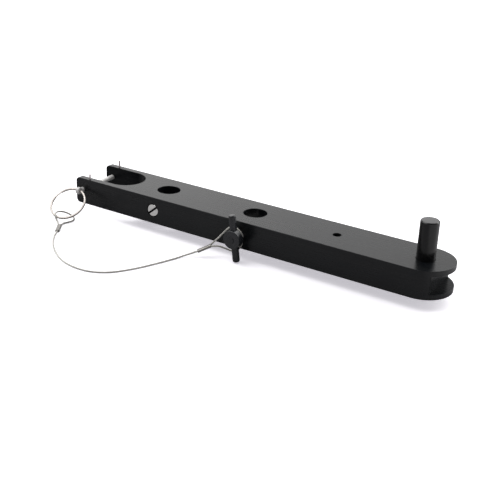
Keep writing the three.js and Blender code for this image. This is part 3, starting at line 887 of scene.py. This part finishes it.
# ---------------------------------------------------------------------------
# T-handle pin
# ---------------------------------------------------------------------------
T_AXIS = (T_X, 0, T_Z)
HUB_BACK, HUB_FACE, HUB_R = -30.1, -39.05, 8.35
HUB_STEP_R = HUB_R - 1.7
CROSS_R, CROSS_Y, CROSS_HALF = 3.2, -33.9, 21.5
CROSS_TILT = math.radians(8.3)
CROSS_DIR = (-math.sin(CROSS_TILT), 0, math.cos(CROSS_TILT))
SHANK_R, SHANK_TIP_R, SHANK_END = 3.97, 2.47, 33.5
SHANK_BORE_R, SHANK_BORE_END = 1.35, 29.5
SPRING_BORE_R, SPRING_BORE_END = 2.6, HUB_BACK + 11
SPINDLE_R, SPINDLE_HOLE_R, SPINDLE_END = 1.2, 1.4, 28.1
BUTTON_R, BUTTON_FACE = 2.6, HUB_FACE - 0.5
COLLAR_R, COLLAR_Y, COLLAR_THICK = 2.4, HUB_BACK + 1.2, 1.2
SPRING_R, SPRING_WIRE_R, SPRING_TURNS = 1.95, 0.3, 4.5
SPRING_START, SPRING_END = COLLAR_Y + 1.7, HUB_BACK + 10.5


def build_t_shank():
    profile = fillet([
        (SHANK_R, HUB_BACK, 0),
        (SHANK_R, SHANK_END - 1.5, 0.5),
        (SHANK_TIP_R, SHANK_END, 0.5),
        (0.0, SHANK_END, 0),
        (0.0, SHANK_BORE_END, 0),
        (SHANK_BORE_R, SHANK_BORE_END, 0.2),
        (SHANK_BORE_R, SPRING_BORE_END, 0),
        (SPRING_BORE_R, SPRING_BORE_END, 0),
        (SPRING_BORE_R, HUB_BACK, 0),
    ])
    shank = lathe("t_shank", profile, 96, T_AXIS, REARWARD, closed=True, smooth=28)
    finish_piece(shank, "stainless", "t_pin", "t_pin_shank")


def build_t_crossbar():
    profile = fillet([
        (0, -CROSS_HALF, 0),
        (CROSS_R, -CROSS_HALF, 2.9),
        (CROSS_R, CROSS_HALF, 2.9),
        (0, CROSS_HALF, 0),
    ], steps=10)
    cross = lathe("t_crossbar", profile, 72, (T_X, CROSS_Y, T_Z), CROSS_DIR, smooth=50)
    boolean(cross, [drill(SPINDLE_HOLE_R, T_AXIS, REARWARD, -45, -20, 40)])
    clean(cross)
    shade(cross, 40)
    finish_piece(cross, "handle", "t_pin", "t_pin_crossbar")


def build_t_hub():
    profile = fillet([
        (0, HUB_FACE, 0),
        (HUB_R, HUB_FACE, 0.7),
        (HUB_R, HUB_BACK - 2.5, 0.6),
        (HUB_STEP_R, HUB_BACK - 0.9, 0.3),
        (HUB_STEP_R, HUB_BACK - 0.3, 0.2),
        (0, HUB_BACK - 0.3, 0),
    ], steps=6)
    hub = lathe("t_hub", profile, 112, T_AXIS, REARWARD, smooth=50)
    # the button's pocket and the spindle hole, cut in one go
    pocket = [
        (0, HUB_FACE - 3),
        (2.72, HUB_FACE - 3),
        (2.72, HUB_FACE + 1.5),
        (SPINDLE_HOLE_R, HUB_FACE + 1.5),
        (SPINDLE_HOLE_R, HUB_BACK + 3),
        (0, HUB_BACK + 3),
    ]
    boolean(hub, [
        drill(CROSS_R + 0.1, (T_X, CROSS_Y, T_Z), CROSS_DIR, -12, 12, 72),
        lathe("pocket", pocket, 64, T_AXIS, REARWARD),
    ])
    clean(hub)
    bevel(hub, width=0.16, segments=2, angle=40)
    shade(hub, 32)
    flat_normals(hub)
    finish_piece(hub, "handle", "t_pin", "t_pin_hub")


def build_t_button():
    """The button with its spindle, which carries a collar in front of the spring."""
    profile = fillet([
        (0, BUTTON_FACE + 0.10, 0),
        (1.2, BUTTON_FACE + 0.08, 0.5),
        (1.9, BUTTON_FACE, 0.5),
        (BUTTON_R, BUTTON_FACE, 0.4),
        (BUTTON_R, BUTTON_FACE + 1.0, 0.15),
        (SPINDLE_R, BUTTON_FACE + 1.0, 0),
        (SPINDLE_R, COLLAR_Y, 0),
        (COLLAR_R, COLLAR_Y, 0.2),
        (COLLAR_R, COLLAR_Y + COLLAR_THICK, 0.2),
        (SPINDLE_R, COLLAR_Y + COLLAR_THICK, 0),
        (SPINDLE_R, SPINDLE_END, 0.4),
        (0, SPINDLE_END, 0),
    ], steps=4)
    button = lathe("t_button", profile, 72, T_AXIS, REARWARD, smooth=30)
    finish_piece(button, "button", "t_button", "t_pin_button")


def build_t_spring():
    coil = []
    for i in range(181):
        t = i / 180
        q = 2 * math.pi * SPRING_TURNS * t
        coil.append((
            T_X + SPRING_R * math.cos(q),
            SPRING_START + (SPRING_END - SPRING_START) * t,
            T_Z + SPRING_R * math.sin(q),
        ))
    wire = [
        (SPRING_WIRE_R * math.cos(q), SPRING_WIRE_R * math.sin(q))
        for q in np.linspace(0, 2 * math.pi, 10, endpoint=False)
    ]
    spring = sweep("t_spring", np.array(coil), wire)
    finish_piece(spring, "spring", "t_pin", "t_pin_spring")
    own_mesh(spring)


# ---------------------------------------------------------------------------
# Lanyard
# ---------------------------------------------------------------------------
ROPE_R = 0.84
ROPE_STEP = 0.42
LAY = 8.5  # length of one full turn of the rope's strands

# Points along the rope's centre line: x, y, z
RING_EYE = [
    (-125.88, -66.91, -8.60), (-131.56, -62.09, -7.90), (-134.41, -60.41, -6.40),
    (-135.67, -59.99, -4.20), (-137.89, -57.79, -3.00), (-140.57, -53.37, -3.00),
    (-141.39, -47.57, -4.20), (-139.72, -42.52, -6.20), (-136.53, -40.23, -7.90),
    (-132.44, -40.46, -9.00), (-127.39, -43.85, -9.15), (-124.66, -48.46, -9.15),
    (-124.89, -52.13, -9.15), (-126.02, -56.15, -9.15), (-126.61, -59.90, -9.00),
    (-124.46, -65.97, -8.60),
]
PIN_EYE = [
    (24.41, -36.81, 0.31), (27.61, -35.80, 4.28), (29.78, -34.90, 6.93),
    (32.50, -33.60, 10.15), (34.35, -32.40, 12.70), (36.05, -31.30, 15.05),
    (37.63, -30.30, 17.01), (39.26, -29.40, 18.83), (41.78, -29.20, 20.35),
    (44.47, -29.20, 20.65), (47.19, -29.20, 19.74), (49.52, -29.20, 18.27),
    (51.47, -29.20, 15.94), (52.56, -29.20, 12.36), (52.64, -29.20, 8.12),
    (51.76, -29.20, 4.56), (49.42, -29.20, 1.07), (46.03, -29.30, -1.34),
    (42.45, -29.70, -2.16), (39.67, -30.80, -1.36), (37.00, -32.40, -0.17),
    (33.80, -34.00, 0.88), (30.43, -35.60, 1.12), (25.53, -38.08, 0.31),
]
RUN = [
    (-117.71, -77.60, -8.60), (-114.76, -83.61, -9.00), (-110.70, -89.72, -9.15),
    (-105.57, -96.17, -9.15), (-100.35, -101.80, -9.15), (-93.32, -108.10, -9.15),
    (-86.46, -113.24, -9.15), (-78.47, -118.39, -9.15), (-71.06, -121.95, -9.15),
    (-63.24, -124.56, -9.15), (-55.12, -126.06, -9.15), (-47.36, -126.25, -9.15),
    (-39.40, -125.24, -9.15), (-32.77, -122.73, -9.15), (-27.05, -119.18, -9.15),
    (-22.09, -114.72, -9.15), (-17.87, -109.32, -9.15), (-14.12, -103.26, -9.15),
    (-10.59, -96.85, -9.15), (-7.28, -90.06, -9.15), (-4.32, -82.72, -9.15),
    (-1.32, -75.30, -9.15), (1.58, -67.63, -9.15), (4.47, -59.80, -9.00),
    (7.71, -52.34, -8.30), (11.32, -47.58, -7.00), (16.78, -44.63, -4.38),
]
# The run is cut into pieces:
# name, body at its start, body at its end, start and end as fractions of the run
RUN_PIECES = [
    ("rope_run_a", "ring", "fork_pin", 0.0, 0.16),
    ("rope_run_b", "fork_pin", "beam", 0.16, 0.42),
    ("rope_run_c", "beam", "tether_end", 0.42, 1.0),
]
# name, start, end, direction of its wide side, body, node
FERRULES = [
    ("ferrule_a", (-125.67, -65.69, -8.60), (-117.74, -77.56, -8.60),
     (0.832, 0.556, 0.000), "ring", "ferrule_ring_end"),
    ("ferrule_b", (25.59, -36.90, 0.67), (16.81, -44.60, -4.36),
     (-0.659, 0.752, 0.000), "tether_end", "ferrule_pin_end"),
]
BARREL_R, BARREL_OFFSET = 1.35, 0.8
FERRULE_EDGE = 0.32  # rounding of the ends


def strands(lobes=6, per_lobe=5):
    """Outline of wires laid round a core."""
    strand_r, centre_r = ROPE_R / 3, 2 * ROPE_R / 3
    out = []
    for k in range(lobes):
        middle = 2 * math.pi * k / lobes
        for degrees in np.linspace(-30, 30, per_lobe, endpoint=False):
            q = math.radians(float(degrees))
            reach = math.sqrt(max(strand_r * strand_r - (centre_r * math.sin(q)) ** 2, 0))
            radius = centre_r * math.cos(q) + reach
            out.append((radius * math.cos(middle + q), radius * math.sin(middle + q)))
    return out


def rope(name, path, lengths, span=None):
    turn = 2 * math.pi * lengths / LAY
    return sweep(name, path, strands(), turn=turn, span=span, smooth=60.0)


def ferrule(name, start, end, wide):
    """A two-barrel sleeve with rounded ends and three crimped dents."""
    start = np.array(start, float)
    along = np.array(end, float) - start
    length = np.linalg.norm(along)
    along /= length
    wide = np.array(wide, float)
    wide -= along * (wide @ along)
    wide /= np.linalg.norm(wide)
    thin = np.cross(along, wide)
    section = arc(BARREL_OFFSET, 0, BARREL_R, -112, 112, 20)
    section += [(-x, -y) for x, y in section]
    # stations: distance along, size
    end_rows = []
    for k in range(7):
        q = math.pi / 2 * k / 6
        size = 1 - (FERRULE_EDGE / BARREL_R) * (1 - math.sin(q))
        end_rows.append((FERRULE_EDGE * (1 - math.cos(q)), size))
    middle_rows = []
    for k in range(1, 40):
        u = k / 40
        dent = sum(math.exp(-(((u - c) / 0.06) ** 2)) for c in (0.26, 0.5, 0.74))
        middle_rows.append((FERRULE_EDGE + (length - 2 * FERRULE_EDGE) * u, 1 - 0.085 * dent))
    stations = end_rows + middle_rows + [(length - h, size) for h, size in end_rows[::-1]]
    # the crimp squeezes the flat sides more than the ends
    rows = [
        [
            start + along * h + wide * (x * (1 + (size - 1) * 0.35)) + thin * (y * size)
            for x, y in section
        ]
        for h, size in stations
    ]
    return loft(name, rows, 40)


def build_run():
    path, lengths = spline(RUN, ROPE_STEP)

    def station(fraction):
        return int(round(fraction * (len(lengths) - 1)))

    def place(fraction):
        return tuple(path[station(fraction)] * MM)

    pieces = []
    for name, _, _, start, end in RUN_PIECES:
        piece = rope(name, path, lengths, (station(start), station(end)))
        piece.data.materials.append(MATERIALS["rope"])
        pieces.append(piece)
    for piece, (_, body, next_body, start, end) in zip(pieces, RUN_PIECES):
        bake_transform(piece)
    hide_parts("lanyard_cable")


def build_lanyard():
    for name, points, body, node in (
        ("rope_ring_eye", RING_EYE, "ring", "lanyard_ring_eye"),
        ("rope_pin_eye", PIN_EYE, "tether_end", "lanyard_pin_eye"),
    ):
        finish_piece(rope(name, *spline(points, ROPE_STEP)), "rope", body, node)
    for name, start, end, wide, body, node in FERRULES:
        finish_piece(ferrule(name, start, end, wide), "ferrule", body, node)
    build_run()


# ---------------------------------------------------------------------------
# Stage, in metres
# ---------------------------------------------------------------------------
FLOOR_Z, FLOOR_HALF = -10.05 * MM, 3.0
FLOOR_DIM = (0.40, 0.395, 0.405)  # as the pieces mirror it
FLOOR_PAINTED_LIGHT = (0.92, 0.91, 0.92)  # painted light: the same floor, brighter past the round end for the upright pin to mirror
FLOOR_SEEN = (0.93, 0.925, 0.935)  # as the camera sees it
FLOOR_GLOW = (0.99, 0.965, 1.04)

# name, place, target, size, power in watts
LIGHTS = [
    ("key", (-0.5, -0.25, 1.1), (0.03, 0, 0), (0.9, 0.9), 9.0),
    ("back", (0.25, 1.0, 1.25), (0.03, 0, 0), (1.4, 0.7), 7.0),
    ("right", (0.80, 0.85, 0.50), (0.2, 0, 0.03), (0.35, 0.8), 4.0),
]

# the camera's own axes and its place, each in world coordinates
CAMERA_RIGHT = (0.84729712, 0.52959582, 0.04019763)
CAMERA_UP = (-0.24549065, 0.32339433, 0.91386566)
CAMERA_BACK = (0.47097975, -0.78418389, 0.40402191)
CAMERA_AT = (0.4448477, -0.6678291, 0.3323283)
SENSOR_WIDTH, LENS = 36, 67.5525168  # mm


def floor_material():
    """Near white and glowing to the camera, dimmer in what the dark metal mirrors, with painted
    light past the round end for the upright pin to mirror.
    """
    mat = bpy.data.materials.new("floor")
    g = Graph(mat)
    nodes = g.tree.nodes
    diffuse = nodes["Principled BSDF"]
    g.feed(diffuse.inputs["Base Color"], FLOOR_DIM)
    diffuse.inputs["Roughness"].default_value = 0.9
    diffuse.inputs["Specular IOR Level"].default_value = 0.0
    glow = g.node("ShaderNodeEmission")
    g.feed(glow.inputs["Color"], FLOOR_GLOW)
    to_camera = g.node("ShaderNodeLightPath").outputs["Is Camera Ray"]
    g.feed(glow.inputs["Strength"], g.math("MULTIPLY", to_camera, 0.50))
    place = g.axes(g.node("ShaderNodeNewGeometry").outputs["Position"])
    # painted light: a brighter patch of floor past the round end, seen only in reflections
    painted_light_patch = g.map_smooth(place["X"], start=0.24, end=0.33, low=0.0, high=1.0)
    mirrored = g.mix(painted_light_patch, FLOOR_DIM, FLOOR_PAINTED_LIGHT)
    g.feed(diffuse.inputs["Base Color"], g.mix(to_camera, mirrored, FLOOR_SEEN))
    both = g.node("ShaderNodeAddShader")
    g.feed(both.inputs[0], diffuse.outputs[0])
    g.feed(both.inputs[1], glow.outputs[0])
    g.feed(nodes["Material Output"].inputs["Surface"], both.outputs[0])
    return mat


def build_floor():
    mesh = bpy.data.meshes.new("floor")
    corners = ((-1, -1), (1, -1), (1, 1), (-1, 1))
    verts = [(x * FLOOR_HALF, y * FLOOR_HALF, FLOOR_Z) for x, y in corners]
    mesh.from_pydata(verts, [], [(0, 1, 2, 3)])
    floor = bpy.data.objects.new("floor", mesh)
    scene.collection.objects.link(floor)
    mesh.materials.append(floor_material())


def build_world():
    """Bright behind, dimmer towards the camera, brighter on the fork's side."""
    world = bpy.data.worlds.new("studio")
    scene.world = world
    g = Graph(world)
    background = g.tree.nodes["Background"]
    place = g.axes(g.node("ShaderNodeTexCoord").outputs["Generated"])
    behind = g.map_smooth(place["Y"], start=-0.35, end=0.55, low=0.30, high=1.30)
    fork_side = g.map_smooth(place["X"], start=-0.15, end=-0.75, low=0.72, high=1.25)
    g.feed(background.inputs["Strength"], g.math("MULTIPLY", behind, fork_side))
    g.feed(background.inputs["Color"], (1.0, 0.995, 0.99))


def build_lights():
    for name, place, target, size, power in LIGHTS:
        data = bpy.data.lights.new(name, "AREA")
        data.shape = "RECTANGLE"
        data.size, data.size_y = size
        data.energy = power
        light = bpy.data.objects.new(name, data)
        scene.collection.objects.link(light)
        light.location = place
        aim = Vector(target) - Vector(place)
        light.rotation_euler = aim.to_track_quat("-Z", "Y").to_euler()


def build_camera():
    data = bpy.data.cameras.new("camera")
    camera = bpy.data.objects.new("camera", data)
    scene.collection.objects.link(camera)
    columns = ((*CAMERA_RIGHT, 0), (*CAMERA_UP, 0), (*CAMERA_BACK, 0), (*CAMERA_AT, 1))
    camera.matrix_world = Matrix(columns).transposed()
    data.sensor_width = SENSOR_WIDTH
    data.sensor_fit = "HORIZONTAL"
    data.lens = LENS
    data.clip_start = 0.01
    scene.camera = camera


build_bar()
build_keepers()
build_upright_pin()
build_set_screw()
build_ring_pin()
build_split_ring()
build_t_shank()
build_t_crossbar()
build_t_hub()
build_t_button()
build_t_spring()
build_lanyard()
build_floor()
build_world()
build_lights()
build_camera()
scene.view_settings.view_transform = "Standard"
scene.view_settings.look = "None"
